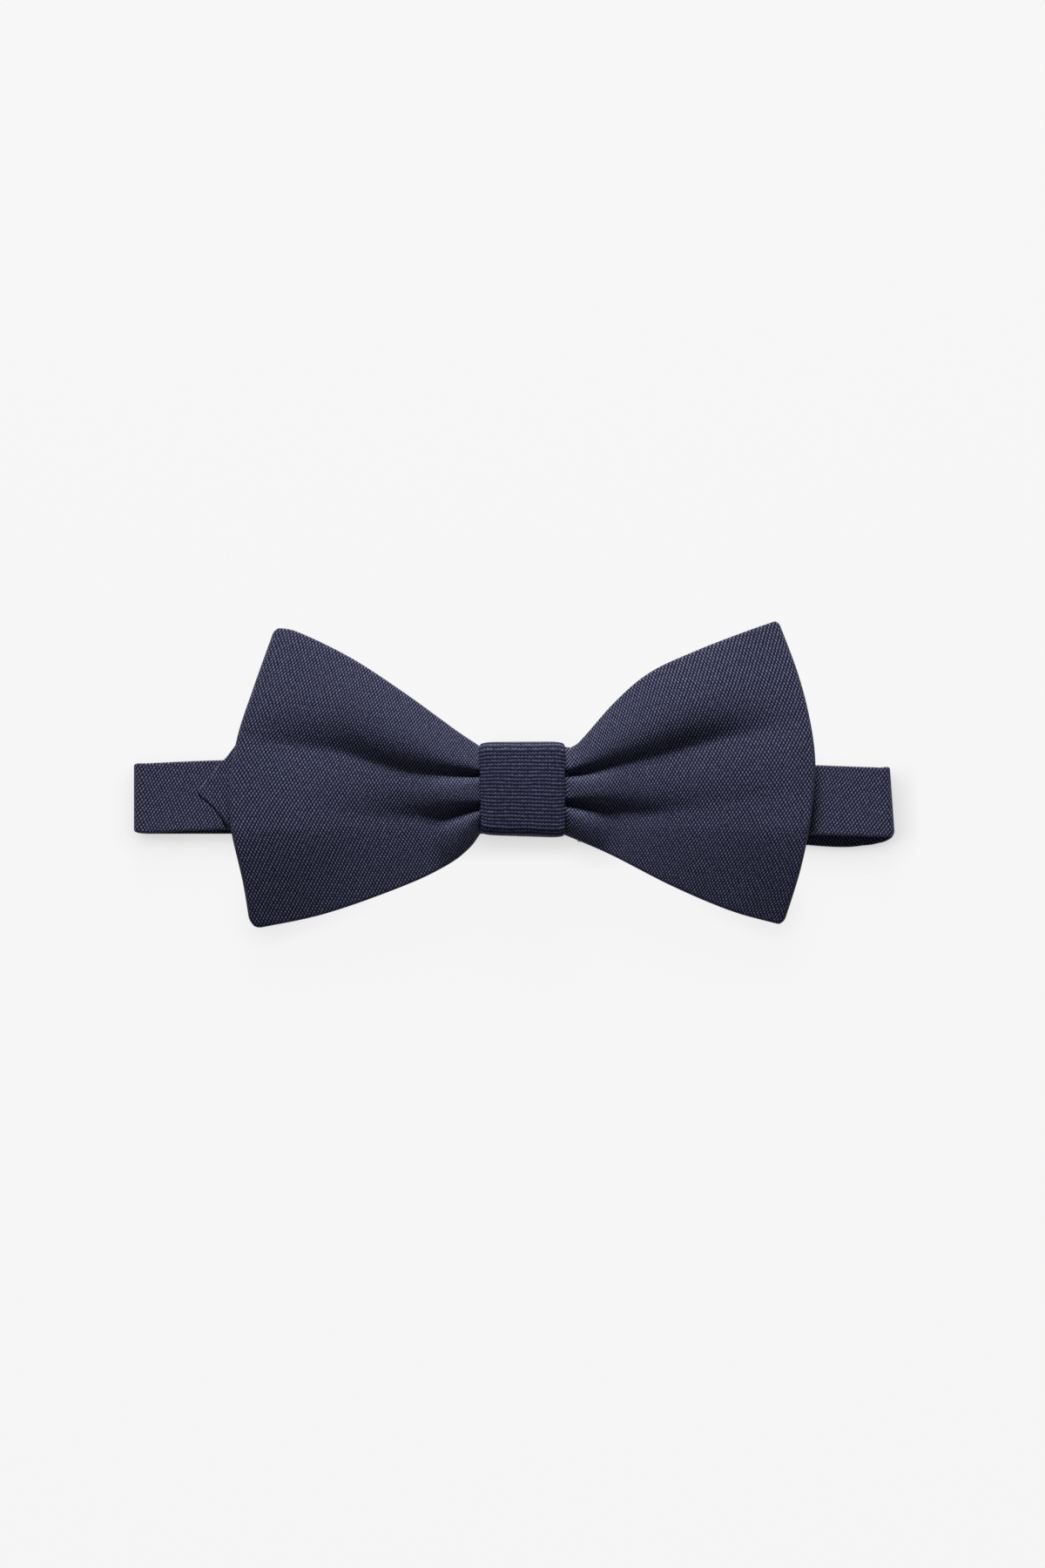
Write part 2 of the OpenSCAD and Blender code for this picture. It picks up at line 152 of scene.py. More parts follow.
def strip_mesh(name, centre, facing, rise, weave_uv, material, closed=False):
    """A cloth strip with rounded edges. centre is a grid of points along x across, facing the unit vectors to
    its outer side, rise its half thickness at each point and weave_uv the cloth's own coordinates."""
    along, wide = centre.shape[:2]
    outer = centre + facing * rise[..., None]
    inner = (centre - facing * rise[..., None])[:, -2:0:-1]
    ring = np.concatenate([outer, inner], axis=1)
    uv = np.concatenate([weave_uv, weave_uv[:, -2:0:-1]], axis=1)
    n = ring.shape[1]
    i, j = along // 2, wide // 2
    ahead, aside = centre[i] - centre[i - 1], centre[i, j] - centre[i, j - 1]
    if np.dot(np.cross(ahead[j], aside), facing[i, j]) > 0:
        ring, uv = ring[:, ::-1], uv[:, ::-1]
    points = ring.reshape(-1, 3)
    weave = np.concatenate([uv.reshape(-1, 2), np.zeros((along * n, 1))], axis=1)
    rows = along if closed else along - 1
    faces = []
    for i in range(rows):
        a, b = i * n, ((i + 1) % along) * n
        for j in range(n):
            k = (j + 1) % n
            faces.append((a + j, b + j, b + k, a + k))
    if not closed:
        faces.append(tuple(range(n)))
        faces.append(tuple(range(along * n - 1, (along - 1) * n - 1, -1)))
    obj = make_mesh(name, points, faces, weave, material)
    if not closed:
        # Flat end caps with sharp rims, so that the strip's own shading runs on past them
        rims = {key for cap in obj.data.polygons[-2:] for key in cap.edge_keys}
        for cap in obj.data.polygons[-2:]:
            cap.use_smooth = False
        for edge in obj.data.edges:
            edge.use_edge_sharp = edge.key in rims
    return obj


# ---------------------------------------------------------------- node materials
class Shader:
    """A small helper that adds nodes to one material."""

    def __init__(self, name):
        self.material = bpy.data.materials.new(name)
        self.material.use_nodes = True
        self.tree = self.material.node_tree
        self.surface = self.tree.nodes["Principled BSDF"]

    def node(self, kind, **settings):
        made = self.tree.nodes.new(kind)
        for key, value in settings.items():
            setattr(made, key, value)
        return made

    def join(self, source, target):
        self.tree.links.new(source, target)

    def math(self, operation, a, b=None, c=None):
        made = self.node("ShaderNodeMath", operation=operation)
        for socket, value in zip(made.inputs, (a, b, c)):
            if value is None:
                continue
            if isinstance(value, (int, float)):
                socket.default_value = value
            else:
                self.join(value, socket)
        return made.outputs[0]

    def ramp(self, factor, stops):
        made = self.node("ShaderNodeValToRGB")
        ramp = made.color_ramp
        while len(ramp.elements) < len(stops):
            ramp.elements.new(0.5)
        for element, (place, colour) in zip(ramp.elements, stops):
            element.position = place
            element.color = (*colour, 1)
        self.join(factor, made.inputs[0])
        return made.outputs[0]

    def noise(self, vector, scale, detail=2.0, dimensions="3D"):
        made = self.node("ShaderNodeTexNoise", noise_dimensions=dimensions)
        made.inputs["Scale"].default_value = scale
        made.inputs["Detail"].default_value = detail
        self.join(vector, made.inputs["Vector"])
        return made.outputs[0]

    def bump(self, height, distance, strength=1.0, normal=None):
        made = self.node("ShaderNodeBump")
        made.inputs["Distance"].default_value = distance
        made.inputs["Strength"].default_value = strength
        self.join(height, made.inputs["Height"])
        if normal is not None:
            self.join(normal, made.inputs["Normal"])
        return made.outputs[0]

    def set(self, **values):
        for key, value in values.items():
            self.surface.inputs[key.replace("_", " ")].default_value = value


# Colours of the weave's ramp: the light one is partly a painted highlight on the raised dots, the dark one
# partly painted shade in the hollows.
DARK_NAVY = (0.0040, 0.0048, 0.0210)
MID_NAVY = (0.0150, 0.0165, 0.0470)
LIGHT_NAVY = (0.180, 0.184, 0.265)
DOT_RELIEF = 0.00016
RIB_RELIEF = 0.00012


def cloth_material(name, ribbed=False, painted_shade_factor=1.0):
    """Navy natte weave: raised dots on a half-drop lattice, or ribs where the cloth is turned on the knot."""
    m = Shader(name)
    weave = m.node("ShaderNodeAttribute", attribute_name="weave")
    vector = weave.outputs["Vector"]
    parts = m.node("ShaderNodeSeparateXYZ")
    m.join(vector, parts.inputs[0])
    x, y = parts.outputs[0], parts.outputs[1]
    drift = m.noise(vector, 0.22, 3)
    drift = m.math("MULTIPLY_ADD", drift, 0.5, -0.25)
    x = m.math("ADD", x, drift)
    y = m.math("ADD", y, drift)
    if ribbed:
        across_wave = m.math("COSINE", m.math("MULTIPLY", x, 2 * math.pi / DOT_PITCH))
        shifted = m.math("MULTIPLY_ADD", across_wave, 0.07, y)
        rib = m.math("COSINE", m.math("MULTIPLY", shifted, 2 * math.pi / RIB_PITCH))
        lattice = m.math("MULTIPLY_ADD", across_wave, 0.12, m.math("MULTIPLY_ADD", rib, 0.55, -0.1))
    else:
        columns = m.math("MULTIPLY", x, 2 * math.pi / DOT_PITCH)
        rows = m.math("MULTIPLY", y, math.pi / ROW_PITCH)
        steep = m.math("COSINE", m.math("SUBTRACT", columns, rows))
        shallow = m.math("COSINE", m.math("ADD", columns, rows))
        lattice = m.math("MULTIPLY_ADD", steep, 0.56, m.math("MULTIPLY", shallow, 0.44))
    fibre_scale = m.node("ShaderNodeVectorMath", operation="MULTIPLY")
    fibre_scale.inputs[1].default_value = (7.0, 2.2, 1.0)
    m.join(vector, fibre_scale.inputs[0])
    fibre = m.noise(fibre_scale.outputs[0], 1.0, 3)
    height = m.math("MULTIPLY_ADD", lattice, 0.5, 0.5)
    uneven = m.noise(vector, 1.3, 2)
    # The colour follows the dots' relief: the ramp paints the raised dots lighter, a painted highlight, and
    # the hollows darker, painted shade. The fibre and uneven noise add the yarns' own variation.
    shade = m.math("ADD", height, m.math("MULTIPLY_ADD", fibre, 0.5, -0.25))
    shade = m.math("ADD", shade, m.math("MULTIPLY_ADD", uneven, 0.5, -0.27))
    # A factor below 1 darkens all three colours, as painted shade.
    colour = m.ramp(shade, [
        (0.10, [c * painted_shade_factor for c in DARK_NAVY]),
        (0.50, [c * painted_shade_factor for c in MID_NAVY]),
        (1.0, [c * painted_shade_factor for c in LIGHT_NAVY]),
    ])
    patch = m.noise(vector, 0.05, 2)
    tint = m.node("ShaderNodeHueSaturation")
    m.join(m.math("MULTIPLY_ADD", patch, 0.30, 0.85), tint.inputs["Value"])
    m.join(colour, tint.inputs["Color"])
    m.join(tint.outputs[0], m.surface.inputs["Base Color"])
    rough = m.math("MULTIPLY_ADD", fibre, 0.2, 0.62)
    m.join(rough, m.surface.inputs["Roughness"])
    relief = m.math("ADD", height, m.math("MULTIPLY", fibre, 0.35))
    m.join(m.bump(relief, RIB_RELIEF if ribbed else DOT_RELIEF, 0.7), m.surface.inputs["Normal"])
    m.set(Specular_IOR_Level=0.14, Sheen_Weight=0.03, Sheen_Roughness=0.45)
    m.surface.inputs["Sheen Tint"].default_value = (0.55, 0.58, 0.8, 1)
    return m.material


def felt_material(name, colour):
    m = Shader(name)
    place = m.node("ShaderNodeTexCoord")
    fibres = m.noise(place.outputs["Object"], 1800.0, 4)
    m.join(m.ramp(fibres, [(0.3, [c * 0.8 for c in colour]), (0.7, colour)]), m.surface.inputs["Base Color"])
    m.join(m.bump(fibres, 0.0001, 0.6), m.surface.inputs["Normal"])
    m.set(Roughness=0.95, Specular_IOR_Level=0.15)
    return m.material


def thread_material(name, colour):
    m = Shader(name)
    place = m.node("ShaderNodeTexCoord")
    twist = m.node("ShaderNodeTexWave", bands_direction="DIAGONAL")
    twist.inputs["Scale"].default_value = 2400.0
    m.join(place.outputs["Object"], twist.inputs["Vector"])
    strand = m.ramp(twist.outputs[1], [(0.2, [c * 0.6 for c in colour]), (0.8, colour)])
    m.join(strand, m.surface.inputs["Base Color"])
    m.join(m.bump(twist.outputs[1], 0.00005, 0.7), m.surface.inputs["Normal"])
    m.set(Roughness=0.5, Sheen_Weight=0.2)
    return m.material


def metal_material(name):
    m = Shader(name)
    place = m.node("ShaderNodeTexCoord")
    grain = m.noise(place.outputs["Object"], 900.0, 4)
    tarnish = m.noise(place.outputs["Object"], 160.0, 3)
    colour = m.ramp(tarnish, [(0.3, (0.55, 0.54, 0.52)), (0.7, (0.74, 0.73, 0.70))])
    m.join(colour, m.surface.inputs["Base Color"])
    m.join(m.math("MULTIPLY_ADD", grain, 0.2, 0.2), m.surface.inputs["Roughness"])
    m.join(m.bump(grain, 0.00002, 0.4), m.surface.inputs["Normal"])
    m.set(Metallic=1.0)
    return m.material


def label_material(name):
    m = Shader(name)
    place = m.node("ShaderNodeTexCoord")
    weft = m.node("ShaderNodeTexWave", bands_direction="Y")
    weft.inputs["Scale"].default_value = 900.0
    m.join(place.outputs["Object"], weft.inputs["Vector"])
    colour = m.ramp(weft.outputs[1], [(0.2, (0.008, 0.008, 0.009)), (0.8, (0.03, 0.03, 0.033))])
    m.join(colour, m.surface.inputs["Base Color"])
    m.join(m.bump(weft.outputs[1], 0.00004, 0.6), m.surface.inputs["Normal"])
    m.set(Roughness=0.4, Sheen_Weight=0.3)
    return m.material


bow_cloth = cloth_material("bow_cloth")
# The knot's cloth is the same navy made 12% darker: painted shade that darkens the knot against the wings.
knot_cloth = cloth_material("knot_cloth", ribbed=True, painted_shade_factor=0.88)
strap_cloth = cloth_material("strap_cloth")
interlining = felt_material("interlining", (0.62, 0.62, 0.6))
thread = thread_material("thread", (0.02, 0.022, 0.06))
metal = metal_material("nickel")
label = label_material("label")

# ---------------------------------------------------------------- the wings
# Edges of each wing, from the knot outwards, and its outer edge from the bottom to the top
WING_EDGES = {
    -1: {
        "top": [(-8.6, 8.6), (-13.7, 12.0), (-24.6, 19.9), (-35.5, 27.0), (-46.4, 32.3), (-51.2, 33.2)],
        "bottom": [(-8.6, -9.2), (-11.0, -12.4), (-15.6, -15.9), (-24.6, -20.2), (-41.0, -26.0),
                   (-56.4, -29.3)],
        "outer": [(-56.4, -29.3), (-57.9, -19.6), (-60.3, -8.7), (-60.9, -1.0), (-59.1, 10.3),
                  (-55.7, 20.7), (-51.2, 33.2)],
    },
    1: {
        "top": [(8.6, 8.6), (11.1, 9.0), (19.2, 18.0), (26.4, 24.0), (36.0, 28.5), (45.5, 32.2),
                (52.9, 34.8)],
        "bottom": [(8.6, -9.6), (13.0, -11.4), (19.2, -14.2), (31.1, -20.3), (43.2, -25.4), (54.0, -28.4)],
        "outer": [(54.0, -28.4), (57.6, -16.5), (59.9, -4.5), (60.6, 5.1), (59.5, 14.1), (57.0, 23.8),
                  (52.9, 34.8)],
    },
}
# Radii of each wing's lower and upper outer corner
CORNER_R = {-1: (2.4, 0.9), 1: (1.3, 0.8)}
WING_LENGTH = 52.0
# Half thickness of the doubled cloth, and how far the outer fold bulges
PANEL_R = 0.5
FOLD_OUT = 0.4
FOLD_REACH = PANEL_R + FOLD_OUT

# The cloth sinks beyond the strap that carries it: how far, from which line, over what distance, how steeply,
# and the share of that beside the knot
LOW_DROOP, LOW_LINE, LOW_SPAN, LOW_POWER = 5.2, -8, 21, 1.35
HIGH_DROOP, HIGH_LINE, HIGH_SPAN, HIGH_POWER = 2.2, 6, 27, 1.5
KNOT_DROOP = 0.45

# Height of the front panel beside the knot, its rise from there and its fall towards the outer edge, the dip
# of the gathered edges at the knot, the swell between the edges, the height of the rear panel and its share
# of the droop, the gap between the panels, and how softly the front one is held off the rear one
CROWN, CROWN_RISE, CROWN_FALL = 11.9, 0.9, 3.4
GATHER_DIP, GATHER_SPAN = 2.4, 7
SWELL = 2.3
REAR = 8.05
REAR_DROOP = 0.95
PANEL_GAP = 0.1
EASE = 0.5

# Below each pleat the cloth stays sunk by this share of its depth, which sets in beyond the knot
STEP, STEP_LINE, STEP_SPAN = 0.85, 10, 12
PLEAT_POWER = 1.35

# Pleats, as pairs of (distance from the middle, value): the height of each crease, its depth, and the widths
# of the slopes above and below it
PLEATS = {
    -1: [
        {"line": [(6, 2.6), (15.6, 2.9), (21.3, 3.1), (25.8, 3.8), (32.6, 5.7), (39.4, 7.6), (56, 9.6)],
         "depth": [(8.8, 2.6), (15.6, 2.4), (21, 3.0), (27, 3.6), (33, 3.9), (40, 3.2), (47, 2.3), (56, 1.0)],
         "above": [(8.8, 0.5), (15.6, 1.5), (21.3, 2.8), (26, 3.9), (33, 5.0), (40, 5.2), (56, 4.6)],
         "below": [(8.8, 0.45), (20, 2.2), (32, 5.2), (45, 6.0)]},
        {"line": [(6, -3.6), (8.8, -4.0), (12.5, -4.9), (16.2, -6.1), (22, -6.9), (30, -6.4), (44, -4.0)],
         "depth": [(8.8, 2.6), (14, 3.0), (19, 3.0), (26, 2.1), (34, 0.8), (44, 0)],
         "above": [(8.8, 0.6), (12.5, 1.2), (16, 2.1), (20, 2.9), (28, 4.5), (44, 5.0)],
         "below": [(8.8, 0.6), (20, 2.8), (30, 5.2), (44, 6.0)]},
    ],
    1: [
        {"line": [(6, 2.6), (8.8, 2.7), (14, 3.4), (19.5, 4.7), (25.2, 6.0), (30.8, 7.4), (38.7, 9.4),
                  (56, 13.4)],
         "depth": [(8.8, 2.6), (15.6, 2.4), (21, 2.8), (27, 3.4), (33, 3.9), (40, 3.5), (47, 2.0), (56, 0.5)],
         "above": [(8.8, 0.5), (14, 1.3), (19.5, 2.4), (25, 3.2), (31, 4.0), (39, 4.8), (56, 5.6)],
         "below": [(8.8, 0.45), (20, 2.2), (32, 5.2), (45, 6.0)]},
        {"line": [(6, -2.9), (8.8, -3.2), (14, -3.8), (19.5, -5.0), (25, -5.9), (31, -5.6), (42, -3.4),
                  (54, -1)],
         "depth": [(8.8, 2.6), (14, 3.0), (20, 2.8), (27, 2.2), (34, 1.3), (44, 0.7), (54, 0.2)],
         "above": [(8.8, 0.5), (14, 1.1), (19.5, 2.0), (25, 2.8), (31, 3.4), (44, 4.4)],
         "below": [(8.8, 0.6), (20, 2.8), (30, 5.2), (44, 6.0)]},
    ],
}

CURVES = {
    side: {key: smooth_path(points, 400) for key, points in edges.items()}
    for side, edges in WING_EDGES.items()
}


def at(curve, t):
    """The point at share t of an evenly spaced curve."""
    place = np.clip(t, 0, 1) * (len(curve) - 1)
    k = np.arange(len(curve))
    return np.stack([np.interp(place, k, curve[:, 0]), np.interp(place, k, curve[:, 1])], axis=-1)


def wing_xy(side, s, v):
    """The place on a wing at share s from the knot outwards and v from its lower to its upper edge."""
    c = CURVES[side]
    lower, upper = at(c["bottom"], s), at(c["top"], s)
    inner_low, inner_high = c["bottom"][0], c["top"][0]
    outer_low, outer_high = c["bottom"][-1], c["top"][-1]
    s_, v_ = s[..., None], v[..., None]
    inner = inner_low * (1 - v_) + inner_high * v_
    outer = at(c["outer"], v)
    corners = (
        (1 - s_) * (1 - v_) * inner_low + (1 - s_) * v_ * inner_high
        + s_ * (1 - v_) * outer_low + s_ * v_ * outer_high
    )
    return lower * (1 - v_) + upper * v_ + inner * (1 - s_) + outer * s_ - corners


def corner_trim(side, reach):
    """How far the lower and upper ends of a row draw in near the outer edge, to round the corners."""
    trims = []
    for radius in CORNER_R[side]:
        near = np.clip((reach - (WING_LENGTH - radius)) / radius, 0, 1)
        trims.append(radius * (1 - np.sqrt(1 - near**2)))
    return trims


def droop(x, y):
    """How far the cloth sinks towards its upper and lower edges, beyond the strap that carries it."""
    out = np.clip((np.abs(x) - KNOT_HALF) / WING_LENGTH, 0, 1)
    low = LOW_DROOP * (np.clip(LOW_LINE - y, 0, None) / LOW_SPAN) ** LOW_POWER
    high = HIGH_DROOP * (np.clip(y - HIGH_LINE, 0, None) / HIGH_SPAN) ** HIGH_POWER
    return (low + high) * (KNOT_DROOP + (1 - KNOT_DROOP) * out)


def pleats(side, x, y):
    """Depth of the creases at a place on the wing's front."""
    reach = np.abs(x)
    sunk = np.zeros_like(reach)
    for pleat in PLEATS[side]:
        crease, depth, above, below = (
            np.interp(reach, *smooth_path(pleat[key], 60).T) for key in ("line", "depth", "above", "below")
        )
        away = y - crease
        share = np.where(away > 0, away / above, -away / below)
        step = np.where(away > 0, 0, STEP * smooth_step((reach - STEP_LINE) / STEP_SPAN))
        sunk = sunk + depth * (step + (1 - step) * np.exp(-(share**PLEAT_POWER)))
    return sunk


def front_height(side, x, y, s, v):
    """Height of the middle of the wing's front panel."""
    beyond = np.abs(x) - KNOT_HALF
    out = np.clip(beyond / WING_LENGTH, 0, 1)
    crown = CROWN + CROWN_RISE * smooth_step(beyond / GATHER_SPAN) - CROWN_FALL * out**1.25
    dip = GATHER_DIP * np.exp(-np.clip(beyond, 0, None) / GATHER_SPAN) * np.abs(2 * v - 1) ** 3
    swell = SWELL * np.sin(math.pi * np.clip(s, 0, 1)) * (1 - (2 * v - 1) ** 2)
    return crown + swell - dip - droop(x, y) - pleats(side, x, y)


def rear_height(x, y):
    """Height of the middle of the wing's rear panel."""
    return REAR - REAR_DROOP * droop(x, y)


def above(floor, height):
    """height, eased so that it never sinks below floor."""
    spare = height - floor
    return floor + (spare + np.sqrt(spare**2 + EASE**2)) / 2


# Half of the cloth that goes round the outer fold, and the share of the cloth's width taken up at the knot
FOLD_CLOTH = 1.4
GATHERED = 0.35
# The share of a wing's length to look ahead and back for the way outwards
NEARBY = 0.01


def wing_station(side, s, turn, inner_count):
    """One row of the front bow's loop: its points, the way they face, half thickness and cloth coordinates.
    turn is 1 on the front panel and -1 on the rear one, and runs between them round the outer fold."""
    ends = wing_xy(side, np.array([s, s]), np.array([0.0, 1.0]))
    width = np.linalg.norm(ends[1] - ends[0])
    angle = turn * math.pi / 2
    trim_low, trim_high = corner_trim(side, s * WING_LENGTH + FOLD_REACH * math.cos(angle))
    room = width - trim_low - trim_high
    distance = across(room, PANEL_R, inner_count)
    v = (distance + trim_low) / width
    s_row = np.full_like(v, s)
    xy = wing_xy(side, s_row, v)
    x, y = xy[:, 0], xy[:, 1]
    rear = rear_height(x, y)
    front = above(rear + 2 * PANEL_R + PANEL_GAP, front_height(side, x, y, s_row, v))
    ahead = wing_xy(side, s_row + NEARBY, v) - wing_xy(side, s_row - NEARBY, v)
    outward = ahead / np.linalg.norm(ahead, axis=1)[:, None]
    middle, half = (front + rear) / 2, (front - rear) / 2
    z = middle + half * math.sin(angle)
    xy = xy + outward * FOLD_OUT * math.cos(angle)
    facing = np.stack([outward[:, 0] * math.cos(angle), outward[:, 1] * math.cos(angle),
                       np.full_like(z, math.sin(angle))], axis=1)
    reach = s * WING_LENGTH + KNOT_HALF + (1 - turn) * FOLD_CLOTH
    gathered = 1 + GATHERED * (1 - s) ** 3
    uv = np.stack([np.full_like(z, side * reach), (v - 0.5) * width * gathered], axis=1)
    return np.column_stack([xy, z]), facing, edge_rise(distance, room, PANEL_R), uv


def loop_stations():
    """The front bow's stations once round its loop: right front, right rear, left rear, left front."""
    last = 1 - FOLD_REACH / WING_LENGTH
    front_s = last * np.linspace(0, 1, 96) ** 1.15
    rear_s = last * np.linspace(0, 1, 30)
    folds = np.linspace(1, -1, 11)[1:-1]
    order = []
    for side in (1, -1):
        front = [(side, s, 1.0) for s in front_s]
        fold = [(side, last, turn) for turn in folds]
        rear = [(side, s, -1.0) for s in rear_s[::-1]]
        order.append(front + fold + rear)
    return order[0] + order[1][::-1]


def front_bow(material):
    rows = [wing_station(side, s, turn, 96) for side, s, turn in loop_stations()]
    centre, facing, rise, uv = (np.stack(part) for part in zip(*rows))
    return strip_mesh("front_bow", centre, facing, rise, uv, material, closed=True)


# How far the front interlining ends short of the outer fold, and half its thickness
FELT_SHORT = 4.5
FELT_HALF = 0.16


def front_interlining(material):
    """The stiff strip inside the front panel, from one wing through the knot to the other."""
    last = 1 - FELT_SHORT / WING_LENGTH
    out = last * np.linspace(0, 1, 50)
    places = [(-1, s) for s in out[::-1]] + [(1, s) for s in out]
    inside = slice(10, -10)
    rows = []
    for side, s in places:
        centre, facing, rise, uv = (part[inside] for part in wing_station(side, s, 1.0, 60))
        rows.append((centre, facing, np.full_like(rise, FELT_HALF), uv))
    centre, facing, rise, uv = (np.stack(part) for part in zip(*rows))
    return strip_mesh("front_bow_interlining_felt", centre, facing, rise, uv, material)


# ---------------------------------------------------------------- the back bow
# Upper and lower edges of each end of the back bow, from the knot to its tip
BACK_EDGES = {
    -1: {
        "top": [(0, 7.4), (-8.6, 7.8), (-26, 18.0), (-45, 21.5), (-54, 17.0), (-59.8, 8.4), (-64.1, 3.3),
                (-67.2, -0.4)],
        "bottom": [(0, -7.8), (-8.6, -8.2), (-26, -17.0), (-45, -20.5), (-54, -17.0), (-60.4, -8.6),
                   (-63.6, -4.3), (-67.2, -1.1)],
    },
    1: {
        "top": [(0, 7.4), (8.6, 7.8), (26, 18.0), (45, 22.0), (54, 17.5), (58.6, 8.0), (59.6, 0.0)],
        "bottom": [(0, -7.8), (8.6, -8.2), (26, -16.5), (45, -21.0), (53, -18.5), (58.0, -9.0), (59.6, -1.5)],
    },
}
# Half its thickness, the height of its middle and its share of the wings' droop
BACK_R = 0.45
BACK_MIDDLE = 6.65
BACK_DROOP = 0.9
# Beyond this distance from the knot the left tip sinks on to the strap and thins out
TIP_LINE, TIP_SPAN, TIP_SINK, TIP_THIN = 58, 6, 0.99, 0.75
# The interlining's distance from the back bow's edges, the radius of its own edge and half its thickness
BACK_FELT_IN = 2.0
BACK_FELT_R = 0.2
BACK_FELT_HALF = 0.15


def back_rows(side, radius, shrink):
    """The rows of one end of the back bow, from the knot to its tip, drawn in by shrink at both edges."""
    top, bottom = (smooth_path(BACK_EDGES[side][key], 110) for key in ("top", "bottom"))
    rows = []
    for upper, lower in zip(top, bottom):
        span = upper - lower
        width = np.linalg.norm(span)
        edge = min(radius, width * 0.49)
        drawn_in = shrink * min(1, width / 8)
        distance = across(width - 2 * drawn_in, edge, 60) + drawn_in
        xy = lower + span * (distance / width)[:, None]
        lean = smooth_step((np.abs(xy[:, 0]) - TIP_LINE) / TIP_SPAN)
        z = BACK_MIDDLE - TIP_SINK * lean - BACK_DROOP * droop(xy[:, 0], xy[:, 1])
        facing = np.tile([0.0, 0.0, 1.0], (len(z), 1))
        rise = edge_rise(distance, width, edge) * (1 - TIP_THIN * lean)
        rows.append((np.column_stack([xy, z]), facing, rise, xy))
    return rows


def back_bow(name, material, radius, shrink, half):
    left, right = (back_rows(side, radius, shrink) for side in (-1, 1))
    centre, facing, rise, uv = (np.stack(part) for part in zip(*(left[::-1] + right[1:])))
    return strip_mesh(name, centre, facing, np.minimum(rise, half), uv, material)


# ---------------------------------------------------------------- the knot
# Half thickness of the band, the middle of its front and back, half its height and the radii of its corners
KNOT_R = 0.55
KNOT_TOP = knot_high[2] - KNOT_R
KNOT_BACK = knot_low[2] + KNOT_R
KNOT_HALF_Y = 9.25
KNOT_CORNER = 1.3
KNOT_BACK_CORNER = 1.2
# The band gets taller towards its right edge and draws in at both edges. Its front swells, its middle is
# waisted, its face lies a little below the box and its rows run downhill to the right
KNOT_TAPER = 0.018
KNOT_EDGE_IN = 0.06
KNOT_SWELL, KNOT_SWELL_Y = 0.5, 9.5
KNOT_WAIST = 0.18
KNOT_SINK = 0.35
KNOT_LEAN = 0.12
# These set in gradually, this far above the back. The band ends a little inside its box
KNOT_FRONT_LINE, KNOT_FRONT_SPAN = 2, 6
KNOT_SHY = 0.05
# How far the knot's interlining lies inside the band, how much narrower it is and half its thickness
KNOT_FELT_IN = 0.72
KNOT_FELT_NARROWER = 1.0
KNOT_FELT_R = 0.12
KNOT_FELT_HALF = 0.1


def knot_profile(count):
    """The knot band's round in the YZ plane, anticlockwise from the middle of its back, as (y, z)."""
    corner_y = KNOT_HALF_Y - KNOT_CORNER
    low_z, high_z = KNOT_BACK + KNOT_BACK_CORNER, KNOT_TOP - KNOT_CORNER
    corners = [
        (corner_y, low_z, KNOT_BACK_CORNER, -90), (corner_y, high_z, KNOT_CORNER, 0),
        (-corner_y, high_z, KNOT_CORNER, 90), (-corner_y, low_z, KNOT_BACK_CORNER, 180),
    ]
    points = [(0.0, KNOT_BACK)]
    for y, z, r, start in corners:
        for a in np.radians(np.linspace(start, start + 90, 9)):
            points.append((y + KNOT_CORNER * math.cos(a), z + r * math.sin(a)))
    points.append((0.0, KNOT_BACK))
    points = np.array(points)
    along = np.concatenate([[0], np.cumsum(np.linalg.norm(np.diff(points, axis=0), axis=1))])
    even = np.linspace(0, along[-1], count + 1)[:-1]
    return np.stack([np.interp(even, along, points[:, k]) for k in (0, 1)], axis=1), along[-1]


def knot(name, material, radius, inset, half, narrower=0.0):
    """The knot band, or its interlining when it is inset from the band's surface and narrower."""
    profile, length = knot_profile(150)
    turn = np.roll(profile, -1, axis=0) - np.roll(profile, 1, axis=0)
    turn /= np.linalg.norm(turn, axis=1)[:, None]
    out = np.stack([turn[:, 1], -turn[:, 0]], axis=1)
    width = 2 * (KNOT_HALF - KNOT_SHY - narrower)
    distance = across(width, radius, 40)
    x = distance - width / 2
    share = x / (width / 2)
    rows = []
    taper = (1 + KNOT_TAPER * share) * (1 - KNOT_EDGE_IN * np.abs(share) ** 9)
    shift = -KNOT_LIFT - KNOT_LEAN * share
    for i, ((y, z), n) in enumerate(zip(profile, out)):
        front = smooth_step((z - KNOT_BACK - KNOT_FRONT_LINE) / KNOT_FRONT_SPAN)
        swell = KNOT_SWELL * front * (1 - (y / KNOT_SWELL_Y) ** 2) * (1 - share**4)
        inward = -KNOT_WAIST * front * (1 - share**2) - inset
        points = np.column_stack([
            x + KNOT_TAPER * y * np.clip(share, -1, 0),
            (y + n[0] * inward) * taper + shift,
            z + n[1] * inward + swell - KNOT_SINK * front,
        ])
        facing = np.tile([0.0, n[0], n[1]], (len(x), 1))
        rise = np.minimum(edge_rise(distance, width, radius), half)
        uv = np.column_stack([x, np.full_like(x, i / len(profile) * length)])
        rows.append((points, facing, rise, uv))
    centre, facing, rise, uv = (np.stack(part) for part in zip(*rows))
    return strip_mesh(name, centre, facing, rise, uv, material, closed=True)


# A direction that no thread runs along, to set out a thread's rings from
OFF_THREAD = (0.31, 0.17, 0.93)


